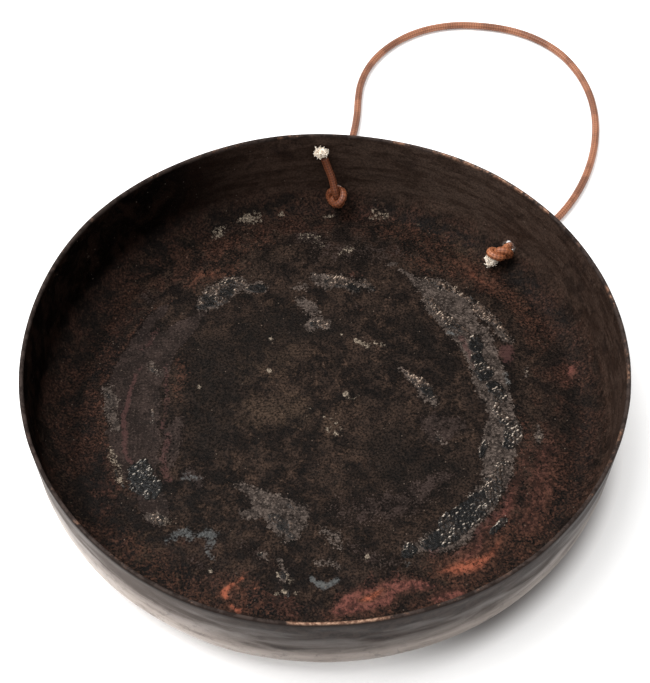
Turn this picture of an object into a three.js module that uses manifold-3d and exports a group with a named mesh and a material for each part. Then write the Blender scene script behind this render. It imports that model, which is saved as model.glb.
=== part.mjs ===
// A shallow round metal pan with a steep wall, and the hanging cord that is knotted through its wall.
//
// Millimetres, +Z up. The origin is the centre of the flat underside, and +Y points to the side of
// the pan that the cord loop lies on. The pan is one piece of sheet metal. The cord is one length of
// soft cord: its loop lies on the table behind the pan, both ends pass through a hole low in the
// wall, and each end is held inside by an overhand knot with a short frayed tail. The soft cord is
// modelled as plain solids, one for each stretch of it.

import * as THREE from 'three';
import { mergeVertices } from 'three/addons/utils/BufferGeometryUtils.js';
import Module from 'manifold-3d';

// ---- driving dimensions -----------------------------------------------------------------------

const RIM_RADIUS = 127;          // outside radius at the rim: a 254 mm (10 inch) pan
const PAN_HEIGHT = 45;
const SHEET = 1.8;               // thickness of the sheet metal
const WALL_LEAN = 1.5;           // degrees from upright, rim wider than foot
const CORNER_RADIUS = 16;        // outside radius of the turn from the wall to the floor

const CORD = 3.8;                // cord diameter
const CORD_SIDES = 8;
const HOLE = 5.5;                // diameter of the two cord holes
const HOLE_HEIGHT = 8.5;         // height of each hole's centre on the outside face
const LEFT_HOLE = 86.5;          // compass places of the two holes, degrees from +X towards +Y
const RIGHT_HOLE = 44;
const GAP = 0.3;                 // clearance kept between neighbouring solids

const KNOT_DEPTH = 8.1;          // from the outside face at the hole to the middle of the knot
const KNOT_LEFT_SIZE = [5.6, 5.3, 5.8];      // half sizes of the two knots
const KNOT_RIGHT_SIZE = [5.5, 5.4, 5.2];
const STUB_INSIDE = 0.3;         // length of cord between the inside face and the knot

const PAN_SEGMENTS = 96;
const CORNER_STEPS = 8;

// ---- materials --------------------------------------------------------------------------------

const panMetal = new THREE.MeshStandardMaterial({ color: 0x2f2723, roughness: 0.45, metalness: 0.8 });
const cordFibre = new THREE.MeshStandardMaterial({ color: 0xa06a4a, roughness: 0.85, metalness: 0 });
const frayedCotton = new THREE.MeshStandardMaterial({ color: 0xe8dfcf, roughness: 0.95, metalness: 0 });

// ---- solid modelling helpers ------------------------------------------------------------------

const wasm = await Module();
wasm.setup();

const radians = THREE.MathUtils.degToRad;

function toSolid(geometry) {
  const bare = geometry.clone();
  bare.deleteAttribute('normal');
  bare.deleteAttribute('uv');
  const merged = mergeVertices(bare, 1e-4);
  return new wasm.Manifold(new wasm.Mesh({
    numProp: 3,
    vertProperties: new Float32Array(merged.attributes.position.array),
    triVerts: new Uint32Array(merged.index.array),
  }));
}

function toGeometry(solid) {
  const mesh = solid.getMesh();
  const geometry = new THREE.BufferGeometry();
  geometry.setAttribute('position', new THREE.BufferAttribute(new Float32Array(mesh.vertProperties), 3));
  geometry.setIndex(new THREE.BufferAttribute(new Uint32Array(mesh.triVerts), 1));
  geometry.computeVertexNormals();
  return geometry;
}

function namedMesh(name, geometry, material) {
  const mesh = new THREE.Mesh(geometry, material);
  mesh.name = name;
  return mesh;
}

// A closed round tube along a smooth curve through the given points.
function tube(points, steps) {
  const section = new THREE.Shape();
  for (let i = 0; i < CORD_SIDES; i++) {
    const angle = 2 * Math.PI * i / CORD_SIDES;
    const x = CORD / 2 * Math.cos(angle);
    const y = CORD / 2 * Math.sin(angle);
    if (i === 0) section.moveTo(x, y);
    else section.lineTo(x, y);
  }
  const path = new THREE.CatmullRomCurve3(points.map((p) => new THREE.Vector3(...p)), false, 'centripetal');
  return new THREE.ExtrudeGeometry(section, { steps, extrudePath: path, bevelEnabled: false });
}

function ellipsoid(centre, halfSizes, around = 16, up = 12) {
  const geometry = new THREE.SphereGeometry(1, around, up);
  geometry.scale(...halfSizes);
  geometry.translate(centre.x, centre.y, centre.z);
  return geometry;
}

// A round bar between two points.
function bar(from, to, radius, sides) {
  const axis = to.clone().sub(from);
  const geometry = new THREE.CylinderGeometry(radius, radius, axis.length(), sides);
  const turn = new THREE.Quaternion().setFromUnitVectors(new THREE.Vector3(0, 1, 0), axis.normalize());
  geometry.applyQuaternion(turn);
  const middle = from.clone().add(to).multiplyScalar(0.5);
  geometry.translate(middle.x, middle.y, middle.z);
  return geometry;
}

// ---- the pan's section ------------------------------------------------------------------------

// The outside of the section turns from the leaning wall into the flat floor on one arc. The arc's
// centre is found from the rim: the wall drops along its lean until the arc takes over.
const lean = radians(WALL_LEAN);
const wallDrop = PAN_HEIGHT - CORNER_RADIUS * (1 - Math.sin(lean));
const cornerCentre = {
  r: RIM_RADIUS - wallDrop * Math.tan(lean) - CORNER_RADIUS * Math.cos(lean),
  z: CORNER_RADIUS,
};

// Points of the corner arc at the given radius, from the floor up to the wall.
function cornerArc(radius) {
  const points = [];
  for (let i = 0; i <= CORNER_STEPS; i++) {
    const angle = -Math.PI / 2 + (Math.PI / 2 - lean) * i / CORNER_STEPS;
    points.push(new THREE.Vector2(
      cornerCentre.r + radius * Math.cos(angle),
      cornerCentre.z + radius * Math.sin(angle),
    ));
  }
  return points;
}

function panSection() {
  const outside = cornerArc(CORNER_RADIUS);
  const inside = cornerArc(CORNER_RADIUS - SHEET).reverse();
  const edge = SHEET / 2;
  const rimCentre = new THREE.Vector2(RIM_RADIUS - edge, PAN_HEIGHT - edge);
  const rim = [];
  for (let i = 0; i <= 4; i++) {
    const angle = -lean + Math.PI * i / 4;
    rim.push(new THREE.Vector2(
      rimCentre.x + edge * Math.cos(angle),
      rimCentre.y + edge * Math.sin(angle),
    ));
  }
  return [new THREE.Vector2(0, 0), ...outside, ...rim, ...inside, new THREE.Vector2(0, SHEET)];
}

// ---- the two cord holes -----------------------------------------------------------------------

// Where a hole's axis meets the outside face, and the direction out of the pan along that axis. The
// hole is square to the sheet, so low on the corner it points outwards and a little down.
function holeAt(degrees) {
  const dip = Math.asin((CORNER_RADIUS - HOLE_HEIGHT) / CORNER_RADIUS);
  const around = radians(degrees);
  const out = new THREE.Vector3(
    Math.cos(dip) * Math.cos(around),
    Math.cos(dip) * Math.sin(around),
    -Math.sin(dip),
  );
  const r = cornerCentre.r + CORNER_RADIUS * Math.cos(dip);
  const mouth = new THREE.Vector3(r * Math.cos(around), r * Math.sin(around), HOLE_HEIGHT);
  const along = (distance) => mouth.clone().addScaledVector(out, distance);
  return { mouth, out, along };
}

const leftHole = holeAt(LEFT_HOLE);
const rightHole = holeAt(RIGHT_HOLE);

function panShell() {
  // A lathe turns its profile about Y, so the section is stood up afterwards.
  const turned = new THREE.LatheGeometry(panSection(), PAN_SEGMENTS);
  turned.rotateX(Math.PI / 2);
  let solid = toSolid(turned);
  for (const hole of [leftHole, rightHole]) {
    solid = solid.subtract(toSolid(bar(hole.along(-4), hole.along(4), HOLE / 2, 24)));
  }
  return namedMesh('pan_shell', toGeometry(solid), panMetal);
}

// ---- the cord ---------------------------------------------------------------------------------

const TABLE = CORD / 2 + 0.05;   // height of the middle of cord that lies on the table
const PIVOT = CORD / 2 + GAP;    // from the hole's mouth to the middle of the loop's round end

// The loop leaves the left hole, dips to the table, runs round behind the pan and comes back to the
// right hole. Its first and last points are the centres of its round ends, on one hinge line.
const LOOP_ROUTE = [
  leftHole.along(PIVOT).toArray(),
  leftHole.along(PIVOT + 5).toArray(),
  [8.8, 138, 2.6],
  [10.6, 147, TABLE],
  [13.4, 157, TABLE],
  [16.4, 169, TABLE],
  [18.4, 182, TABLE],
  [19.4, 195, TABLE],
  [21.2, 207, TABLE],
  [26, 220, TABLE],
  [34.5, 232.5, TABLE],
  [46, 242.6, TABLE],
  [59.5, 249.3, TABLE],
  [74.5, 252.2, TABLE],
  [90, 251.1, TABLE],
  [105, 247.1, TABLE],
  [118.5, 239.3, TABLE],
  [129.4, 228, TABLE],
  [136.7, 214, TABLE],
  [140.9, 198.5, TABLE],
  [142.1, 182.5, TABLE],
  [140.7, 166.5, TABLE],
  [137, 150.5, TABLE],
  [130.9, 134.5, TABLE],
  [122.6, 119.6, TABLE],
  [112.6, 107, TABLE],
  [102.4, 98.4, 2.6],
  rightHole.along(PIVOT + 5).toArray(),
  rightHole.along(PIVOT).toArray(),
];

// The longer tail stands up from the left knot and leans on the wall.
const TAIL_ROUTE = [
  [5.7, 117.2, 18.6],
  [4.4, 118.4, 23.5],
  [2.6, 120.2, 28.3],
  [1.1, 121.5, 32.8],
];

const FRAY_LEFT = { centre: new THREE.Vector3(-0.1, 121.3, 36.6), size: [3.7, 3.1, 3.2] };
const FRAY_RIGHT = { centre: new THREE.Vector3(79.8, 79.4, 5.2), size: [3.4, 3.2, 2.9] };

function cordLoop() {
  let solid = toSolid(tube(LOOP_ROUTE, 72));
  for (const hole of [leftHole, rightHole]) {
    const end = hole.along(PIVOT);
    solid = solid.add(toSolid(ellipsoid(end, [CORD / 2, CORD / 2, CORD / 2], 12, 8)));
  }
  return namedMesh('cord_loop', toGeometry(solid), cordFibre);
}

function cordInHole(name, hole) {
  const inner = hole.along(-SHEET - STUB_INSIDE);
  return namedMesh(name, bar(inner, hole.along(0), CORD / 2, CORD_SIDES), cordFibre);
}

function knot(name, hole, size) {
  return namedMesh(name, ellipsoid(hole.along(-KNOT_DEPTH), size), cordFibre);
}

// ---- assembly ---------------------------------------------------------------------------------

const group = new THREE.Group();
group.add(panShell());

group.add(cordLoop());
group.add(cordInHole('cord_in_left_hole', leftHole));
group.add(cordInHole('cord_in_right_hole', rightHole));
group.add(knot('knot_left', leftHole, KNOT_LEFT_SIZE));
group.add(knot('knot_right', rightHole, KNOT_RIGHT_SIZE));
group.add(namedMesh('tail_left', tube(TAIL_ROUTE, 5), cordFibre));
group.add(namedMesh('frayed_end_left', ellipsoid(FRAY_LEFT.centre, FRAY_LEFT.size, 12, 8), frayedCotton));
group.add(namedMesh('frayed_end_right', ellipsoid(FRAY_RIGHT.centre, FRAY_RIGHT.size, 12, 8), frayedCotton));

export default group;
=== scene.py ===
import math
from types import SimpleNamespace

import bpy
import numpy as np
from mathutils import Matrix, Vector


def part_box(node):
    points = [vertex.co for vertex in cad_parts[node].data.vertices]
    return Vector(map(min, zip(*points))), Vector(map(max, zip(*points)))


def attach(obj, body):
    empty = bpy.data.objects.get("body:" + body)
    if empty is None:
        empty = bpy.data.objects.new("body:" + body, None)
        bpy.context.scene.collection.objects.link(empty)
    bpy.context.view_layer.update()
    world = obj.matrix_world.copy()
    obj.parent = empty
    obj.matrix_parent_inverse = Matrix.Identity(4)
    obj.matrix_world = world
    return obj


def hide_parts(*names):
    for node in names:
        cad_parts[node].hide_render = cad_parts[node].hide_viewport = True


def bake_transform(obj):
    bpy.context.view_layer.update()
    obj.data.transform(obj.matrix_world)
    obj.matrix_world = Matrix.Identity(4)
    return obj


# An old sheet-metal pan with a dark patina and burnt-on residue, and its knotted hanging cord.
# Lengths in this script are millimetres in the model's own frame, and each mesh turns them into
# metres. Only the table with its shadow, and the lights, are given in metres.

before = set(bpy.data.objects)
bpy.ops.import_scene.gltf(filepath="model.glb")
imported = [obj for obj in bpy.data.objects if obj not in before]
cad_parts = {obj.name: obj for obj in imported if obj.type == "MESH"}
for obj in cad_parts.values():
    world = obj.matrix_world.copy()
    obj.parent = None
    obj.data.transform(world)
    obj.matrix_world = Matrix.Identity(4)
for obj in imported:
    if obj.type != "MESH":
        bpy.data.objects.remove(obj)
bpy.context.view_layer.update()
MM = 0.001

# ---- sizes, from the frame and the same driving dimensions as the model -------------------------

PAN_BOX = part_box("pan_shell")
RIM_RADIUS = PAN_BOX[1].x / MM
PAN_HEIGHT = PAN_BOX[1].z / MM
SHEET = 1.8
WALL_LEAN = math.radians(1.5)
CORNER_RADIUS = 16.0

CORD = 3.8
HOLE = 5.5
HOLE_HEIGHT = 8.5
LEFT_HOLE = math.radians(86.5)
RIGHT_HOLE = math.radians(44)
PIVOT = CORD / 2 + 0.3          # from a hole's mouth to the middle of the loop's round end
TABLE = CORD / 2 + 0.05         # height of the middle of cord that lies on the table


def unit(v):
    v = np.asarray(v, float)
    return v / np.linalg.norm(v)


# ---- camera -----------------------------------------------------------------------------------

CAMERA_ELEVATION = math.radians(53.1)
CAMERA_ROLL = math.radians(-0.58)
CAMERA_DISTANCE = 587.2
CAMERA_AIM = (0.6, 3.0, PAN_HEIGHT)
CAMERA_LENS = 73.8


def make_camera():
    back = Vector((0, -math.cos(CAMERA_ELEVATION), math.sin(CAMERA_ELEVATION)))
    right = Vector((1, 0, 0))
    up = back.cross(right)
    right_rolled = right * math.cos(CAMERA_ROLL) + up * math.sin(CAMERA_ROLL)
    up_rolled = up * math.cos(CAMERA_ROLL) - right * math.sin(CAMERA_ROLL)
    data = bpy.data.cameras.new("camera")
    data.lens = CAMERA_LENS
    data.sensor_width = 36
    data.clip_start = 0.01
    camera = bpy.data.objects.new("camera", data)
    place = (Vector(CAMERA_AIM) + back * CAMERA_DISTANCE) * MM
    turn = Matrix((right_rolled, up_rolled, back)).transposed().to_4x4()
    camera.matrix_world = Matrix.Translation(place) @ turn
    bpy.context.scene.collection.objects.link(camera)
    bpy.context.scene.camera = camera


make_camera()

# ---- mesh helpers -----------------------------------------------------------------------------


def make_mesh(name, vertices, faces, attributes=None):
    """An object from points in millimetres, with one float per vertex for each attribute."""
    mesh = bpy.data.meshes.new(name)
    mesh.from_pydata((np.asarray(vertices) * MM).tolist(), [], faces)
    for key, values in (attributes or {}).items():
        layer = mesh.attributes.new(key, "FLOAT", "POINT")
        layer.data.foreach_set("value", np.asarray(values, np.float32))
    mesh.polygons.foreach_set("use_smooth", [True] * len(mesh.polygons))
    mesh.update()
    piece = bpy.data.objects.new(name, mesh)
    bpy.context.scene.collection.objects.link(piece)
    return piece


def row_faces(rows, around):
    """Quads between rows of points, where each row runs once round."""
    faces = []
    for i in range(rows - 1):
        for j in range(around):
            k = (j + 1) % around
            faces.append((i * around + j, i * around + k, (i + 1) * around + k, (i + 1) * around + j))
    return faces


def closed_faces(rows, around):
    """The same, closed by two more points: the first for the first row, the second for the last."""
    faces = row_faces(rows, around)
    start, last_row = rows * around, (rows - 1) * around
    for j in range(around):
        k = (j + 1) % around
        faces.append((start, k, j))
        faces.append((start + 1, last_row + j, last_row + k))
    return faces


def dress(piece, material):
    """Gives a piece its material and its slot, and makes it ride on the pan."""
    piece.data.materials.append(material)
    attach(piece, "pan")


def smooth_route(points, per_span=12):
    """A centripetal Catmull-Rom curve through the points, as many short steps."""
    p = np.asarray(points, float)
    p = np.vstack([2 * p[0] - p[1], p, 2 * p[-1] - p[-2]])
    out = []
    for a, b, c, d in zip(p, p[1:], p[2:], p[3:]):
        k = [0.0]
        for u, v in ((a, b), (b, c), (c, d)):
            k.append(k[-1] + max(np.linalg.norm(v - u), 1e-6) ** 0.5)
        for t in np.linspace(k[1], k[2], per_span, endpoint=False):
            ab = ((k[1] - t) * a + (t - k[0]) * b) / (k[1] - k[0])
            bc = ((k[2] - t) * b + (t - k[1]) * c) / (k[2] - k[1])
            cd = ((k[3] - t) * c + (t - k[2]) * d) / (k[3] - k[2])
            low = ((k[2] - t) * ab + (t - k[0]) * bc) / (k[2] - k[0])
            high = ((k[3] - t) * bc + (t - k[1]) * cd) / (k[3] - k[1])
            out.append(((k[2] - t) * low + (t - k[1]) * high) / (k[2] - k[1]))
    out.append(p[-2])
    return np.array(out)


def even_steps(points, step):
    """The same line cut into even steps."""
    points = np.asarray(points, float)
    lengths = np.linalg.norm(np.diff(points, axis=0), axis=1)
    along = np.concatenate([[0], np.cumsum(lengths)])
    count = max(2, int(round(along[-1] / step)) + 1)
    at = np.linspace(0, along[-1], count)
    return np.stack([np.interp(at, along, points[:, i]) for i in range(3)], -1)


# ---- noise, worked out for many points at once ---------------------------------------------------


def lattice(ix, iy, iz, seed):
    """A fixed but irregular number from 0 to 1 for each cell."""
    h = (ix * 374761393 + iy * 668265263 + iz * 1103515245 + seed * 974634777) & 0xFFFFFFFF
    h = ((h ^ (h >> 13)) * 1274126177) & 0xFFFFFFFF
    return ((h ^ (h >> 16)) & 0xFFFFFF) / float(0xFFFFFF)


def noise(points, size, seed):
    """Smooth noise from -1 to 1 whose lumps are about size across."""
    q = np.asarray(points, float) / size
    cell = np.floor(q).astype(np.int64)
    f = q - cell
    f = f * f * (3 - 2 * f)
    total = np.zeros(len(q))
    for corner in range(8):
        dx, dy, dz = corner & 1, corner >> 1 & 1, corner >> 2 & 1
        weight = (f[:, 0] if dx else 1 - f[:, 0]) * (f[:, 1] if dy else 1 - f[:, 1])
        weight = weight * (f[:, 2] if dz else 1 - f[:, 2])
        total += weight * lattice(cell[:, 0] + dx, cell[:, 1] + dy, cell[:, 2] + dz, seed)
    return total * 2 - 1


def layered_noise(points, size, seed, layers=4, roughness=0.55):
    total, weight, scale = np.zeros(len(points)), 0.0, 1.0
    for i in range(layers):
        total += scale * noise(points, size / 2 ** i, seed + 17 * i)
        weight += scale
        scale *= roughness
    return total / weight


SMALLEST_GRAIN, LARGEST_GRAIN = 0.26, 0.60      # in cells


def grains(x, y, cell, seed, amount):
    """Round-topped grains scattered one to a cell, present with the chance given by amount, some of
    them burst open: their height, in cells."""
    u, v = x / cell, y / cell
    iu, iv = np.floor(u).astype(np.int64), np.floor(v).astype(np.int64)
    top = np.zeros_like(u)
    for du in (-1, 0, 1):
        for dv in (-1, 0, 1):
            cu, cv = iu + du, iv + dv
            zero = cu * 0
            px = cu + 0.15 + 0.7 * lattice(cu, cv, zero, seed)
            py = cv + 0.15 + 0.7 * lattice(cu, cv, zero + 1, seed)
            size = SMALLEST_GRAIN + (LARGEST_GRAIN - SMALLEST_GRAIN) * lattice(cu, cv, zero + 2, seed)
            away = (u - px) ** 2 + (v - py) ** 2
            dome = np.sqrt(np.maximum(size ** 2 - away, 0))
            burst = lattice(cu, cv, zero + 4, seed) > 0.6
            dome = np.where(burst, dome - 0.8 * size * np.exp(-away / (0.55 * size) ** 2), dome)
            present = lattice(cu, cv, zero + 3, seed) < amount
            top = np.maximum(top, np.where(present, dome, 0))
    return top


def smoothstep(low, high, value):
    t = np.clip((value - low) / (high - low), 0, 1)
    return t * t * (3 - 2 * t)


# ---- the pan's shape -----------------------------------------------------------------------------

WALL_DROP = PAN_HEIGHT - CORNER_RADIUS * (1 - math.sin(WALL_LEAN))
CORNER_R = RIM_RADIUS - WALL_DROP * math.tan(WALL_LEAN) - CORNER_RADIUS * math.cos(WALL_LEAN)
MIDDLE_RADIUS = CORNER_RADIUS - SHEET / 2


def hole_at(angle):
    """A cord hole, as a function that gives the point on its axis a distance outside the outer face."""
    dip = math.asin((CORNER_RADIUS - HOLE_HEIGHT) / CORNER_RADIUS)
    out = np.array([math.cos(dip) * math.cos(angle), math.cos(dip) * math.sin(angle), -math.sin(dip)])
    r = CORNER_R + CORNER_RADIUS * math.cos(dip)
    mouth = np.array([r * math.cos(angle), r * math.sin(angle), HOLE_HEIGHT])
    return lambda distance: mouth + distance * out


left_hole = hole_at(LEFT_HOLE)
right_hole = hole_at(RIGHT_HOLE)


def middle_section():
    """The middle of the sheet from the centre to the rim: rows of r, z, and the normal into the bowl."""
    rows = []
    for r in np.arange(1.0, CORNER_R, 1.0):
        rows.append((r, SHEET / 2, 0.0, 1.0))
    for angle in np.linspace(-math.pi / 2, -WALL_LEAN, 24):
        c, s = math.cos(angle), math.sin(angle)
        rows.append((CORNER_R + MIDDLE_RADIUS * c, CORNER_RADIUS + MIDDLE_RADIUS * s, -c, -s))
    r, z, nr, nz = rows[-1]
    length = (PAN_HEIGHT - SHEET / 2 - z) / math.cos(WALL_LEAN)
    for t in np.linspace(0, length, 27)[1:]:
        rows.append((r + t * math.sin(WALL_LEAN), z + t * math.cos(WALL_LEAN), nr, nz))
    return np.array(rows)


def floor_wave(x, y):
    """How far the hand-worked floor rises and falls, shared by the sheet and by what lies on it."""
    flat = np.stack([x, y, np.zeros_like(x)], -1)
    edge = smoothstep(112, 80, np.hypot(x, y))
    return np.maximum(0.30 * layered_noise(flat, 42, 5, 2) + 0.10 * noise(flat, 11, 9) + 0.30 * edge, 0)


def out_of_round(angle):
    """How far the rim stands off a true circle."""
    return (0.35 * np.cos(2 * angle + 0.4) + 0.3 * np.cos(3 * angle - 0.6)
            + 0.25 * np.cos(4 * angle + 2.4) + 0.2 * np.cos(7 * angle + 1.0))


def dish(x, y, at, radius, depth, lip):
    """A small round hollow with a raised lip."""
    d = np.hypot(x - at[0], y - at[1]) / radius
    return -depth * np.exp(-(d * 1.25) ** 4) + lip * np.exp(-((d - 1.25) / 0.35) ** 2)


def worked_sheet(rows, angle, offset):
    """Points of the sheet's rows at the given angles, offset from its middle into the bowl."""
    r, z, nr, nz = (rows[:, i, None] for i in range(4))
    c, s = np.cos(angle)[None, :], np.sin(angle)[None, :]
    wall = smoothstep(0, PAN_HEIGHT, z)
    base = np.stack([(r * c).ravel(), (r * s).ravel(), (z + 0 * c).ravel()], -1)
    dents = 0.30 * layered_noise(base, 30, 21, 2) + 0.10 * noise(base, 9, 33)
    floor = floor_wave(base[:, 0], base[:, 1])
    blend = smoothstep(3, 14, base[:, 2])
    push = ((1 - blend) * floor + blend * dents).reshape(len(rows), -1)
    keep = smoothstep(0, 3.0, PAN_HEIGHT - z) * 0.7 + 0.3
    push = push * keep
    lift = 0.35 * np.sin(3 * angle + 0.5)[None, :] + 0.2 * np.sin(8 * angle)[None, :]
    round_off = out_of_round(angle)[None, :] * wall
    rr = r + round_off + nr * (offset + push)
    zz = z + nz * (offset + push) + lift * smoothstep(0.6 * PAN_HEIGHT, PAN_HEIGHT, z)
    return np.stack([rr * c, rr * s, zz], -1)


def rim_rows(outer, inner):
    """Rows that round the cut edge over, and how far round each one is, from 0 outside to 1 inside."""
    middle = (outer + inner) / 2
    rise = np.array([0, 0, SHEET / 2])
    turns = np.linspace(0, math.pi, 7)[1:-1]
    rows = [middle + (outer - middle) * math.cos(turn) + rise * math.sin(turn) for turn in turns]
    return rows, turns / math.pi


# Where the marks pressed into the sheet are.
NUB = (9.5, 5.2)
PUNCH_MARK = (-56.2, 107.6, 5.6)
ROUND_MARKS = [(-1, 18), (22, -32), (18, -30)]


def press_marks(points, inside):
    """Adds the nub near the middle of the floor, the round marks, and the punch mark low in the wall."""
    x, y, z = points.T
    rise = 0.8 * np.exp(-((np.hypot(x - NUB[0], y - NUB[1]) / 1.4) ** 4)) + dish(x, y, NUB, 2.2, 0.2, 0.25)
    for place in ROUND_MARKS:
        rise = rise + dish(x, y, place, 2.0, 0.12, 0.14)
    points[:, 2] += np.where(inside & (z < 5), rise, 0)
    away = (points - np.array(PUNCH_MARK)) / (1.3, 1.3, 2.0)
    near = np.where(inside, 0.75 * np.exp(-(away ** 2).sum(1)), 0)
    points += near[:, None] * unit([PUNCH_MARK[0], PUNCH_MARK[1], -60])


ANGLES = 520            # points round the pan in each row


def build_pan():
    """The pan's points and faces, and for each point which side of the sheet it is on: 0 out, 1 in."""
    rows = middle_section()
    angle = np.linspace(0, 2 * math.pi, ANGLES, endpoint=False)
    # The outside is plainer, so it has few rows on the flat floor, and every second one above it.
    needed_outside = [*range(0, 100, 12), *range(109, len(rows), 2)]
    outside = worked_sheet(rows[needed_outside], angle, -SHEET / 2)
    inner = worked_sheet(rows[::-1], angle, SHEET / 2)
    edge, edge_sides = rim_rows(outside[-1], inner[0])
    grid = np.concatenate([outside, edge, inner])
    side = np.repeat([0.0] * len(outside) + list(edge_sides) + [1.0] * len(inner), ANGLES)
    flat = grid.reshape(-1, 3)
    press_marks(flat, side == 1.0)
    over = SHEET + float(floor_wave(np.zeros(1), np.zeros(1))[0])
    vertices = np.vstack([flat, [[0, 0, 0], [0, 0, over]]])
    return vertices, closed_faces(len(grid), ANGLES), np.append(side, [0.0, 1.0])


# ---- stains, in millimetres on the floor -----------------------------------------------------------


def band_field(x, y, line, edge):
    """How far inside a band each point is, from 1 well inside to 0 outside. The band follows a line
    of (x, y, half width) points, and fades over the width of edge at either side."""
    line = smooth_route(line, 8) if len(line) > 1 else np.array(line, float)
    nearest = np.full(len(x), 1e9)
    for a, b, w in line:
        nearest = np.minimum(nearest, np.hypot(x - a, y - b) - w)
    return np.clip(0.5 - nearest / (2 * edge), 0, 1)


def outline_field(x, y, outline, edge):
    """The same for a patch inside a closed outline of (x, y) corners."""
    nearest = np.full(len(x), 1e9)
    inside = np.zeros(len(x), bool)
    for (ax, ay), (bx, by) in zip(outline, outline[1:] + outline[:1]):
        dx, dy = bx - ax, by - ay
        t = np.clip(((x - ax) * dx + (y - ay) * dy) / (dx * dx + dy * dy), 0, 1)
        nearest = np.minimum(nearest, np.hypot(x - ax - t * dx, y - ay - t * dy))
        if dy:
            inside ^= ((ay > y) != (by > y)) & (x < ax + (y - ay) * dx / dy)
    return np.clip(0.5 + np.where(inside, nearest, -nearest) / (2 * edge), 0, 1)


def patches(x, y, stains):
    """The strongest of several stains, each given as (strength, edge, band or outline)."""
    total = np.zeros(len(x))
    for strength, edge, line in stains:
        field = outline_field if len(line[0]) == 2 else band_field
        total = np.maximum(total, strength * field(x, y, line, edge))
    return total


def spots(strength, edge, places):
    return [(strength, edge, [place]) for place in places]


GREY_FILM = [
    (1.0, 1.6, [(-88, 39), (-82, 49), (-75, 57), (-71, 59), (-80, 41), (-74, 43), (-59, 53), (-55, 53),
                (-61, 38), (-66, 31), (-73, 8), (-71, -34), (-65, -50), (-66, -58), (-69, -61),
                (-74, -59), (-81, -43), (-86, -38), (-93, -22), (-95, -13), (-97, 2), (-95, 23)]),
    (0.74, 2.0, [(-72, -12), (-68, -6), (-62, -4), (-60, -10), (-66, -33), (-71, -29)]),
    (0.78, 2.0, [(-64, -41), (-62, -33), (-57, -31), (-52, -36), (-51, -43), (-55, -43), (-59, -39)]),
    (0.72, 3.0, [(-87, 66, 2), (-82, 62, 3), (-79, 58, 1.5)]),
    (1.0, 2.0, [(-76, -46, 4), (-72, -54, 4)]),
    (0.70, 2.5, [(41, -8), (49, -4), (62, -8), (63, -14), (48, -22), (44, -19)]),
    (0.60, 3.0, [(15, 56, 1.5), (19, 54, 2), (17, 51, 1)]),
    (0.62, 3.0, [(-50, 102, 3), (-47, 104, 2)]),
    (0.74, 4.0, [(-10, 99, 4), (-4, 98, 4), (1, 94, 3)]),
    (0.58, 8.0, [(-2, 88, 7), (22, 90, 8), (40, 86, 5)]),
    (0.58, 8.0, [(50, -38, 8), (30, -50, 10), (8, -54, 9)]),
    (0.60, 4.0, [(-38, -67, 3), (-32, -71, 2.5), (-28, -74, 3.5)]),
    (0.62, 3.0, [(-60, -74, 2), (-53, -77, 2), (-48, -81, 2)]),
    (0.60, 5.0, [(12, -70, 4), (18, -76, 5), (28, -78, 4)]),
]
ASH = [
    (1.0, 1.6, [(38, 77), (46, 72), (57, 71), (65, 63), (72, 44), (76, 43), (79, 34), (84, -8),
                (87, -13), (77, -44), (62, -64), (56, -71), (48, -74), (39, -73), (35, -76), (32, -74),
                (32, -69), (38, -68), (52, -58), (59, -48), (66, -42), (68, -33), (67, -23), (72, -6),
                (63, 29), (48, 53), (47, 61)]),
    (0.9, 1.4, [(66, 61, 1), (72, 54, 2.2), (78, 46, 2.4), (83, 38, 2.2), (86, 33, 0.8)]),
    (0.85, 1.6, [(-39, -41), (-35, -40), (-29, -42), (-7, -52), (-6, -56), (-11, -66), (-16, -68),
                 (-24, -61), (-26, -57), (-34, -57), (-37, -53), (-30, -51)]),
    (0.72, 1.8, [(-26, -74, 2.6)]),
    (0.80, 1.5, [(-19, -76, 1.5), (-17, -81, 1.5), (-17, -85, 2.4)]),
    (0.74, 1.5, [(-3, -78, 1.5), (3, -78, 2), (5, -81, 1.2)]),
    (0.95, 1.5, [(-74, -56, 1.5), (-69, -57, 3)]),
    (0.66, 2.0, [(0, -63, 2), (4, -66, 3), (6, -70, 1.5)]),
    (0.90, 1.8, [(-57, 56, 3), (-52, 61, 6), (-45, 67, 6), (-39, 70, 3)]),
    (0.85, 1.8, [(-36, 67, 2.5), (-31, 67, 3.5), (-27, 67, 1.5)]),
    (0.80, 1.8, [(-4, 75, 2), (2, 71, 4.5), (9, 71, 4.5), (16, 66, 3)]),
    (0.72, 1.8, [(19, 70, 2), (24, 65, 2)]),
    (0.66, 1.8, [(-13, 68, 2), (-8, 68, 2.5)]),
    (0.80, 1.6, [(-11, 60, 2), (-7, 57, 3.8), (-4, 53, 2)]),
    (0.84, 1.6, [(-6, 44, 3), (-2, 47, 3.5), (2, 44, 2)]),
    (0.80, 1.6, [(35, 20, 0.8), (41, 13, 2.6), (45, 8, 3.4), (50, 0, 1.5)]),
    (0.66, 1.6, [(49, -14, 1), (51, -20, 2)]),
    (0.85, 1.2, [(37, 77, 0.8), (42, 73, 1.8), (46, 69, 1.5)]),
    (0.95, 1.0, [(31, 81, 1.0), (35, 80, 1.0)]),
    (0.80, 1.2, [(91, 20, 0.6), (91, 16, 1.0)]),
    (0.85, 1.2, [(93, -12, 0.6), (93, -18, 1.8), (92, -22, 0.8)]),
    (0.80, 2.0, [(-97, 12, 2), (-95, 2, 3), (-92, -10, 2.5)]),
    (0.70, 1.5, [(-78, 22, 2.5), (-73, 17, 2)]),
]
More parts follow.
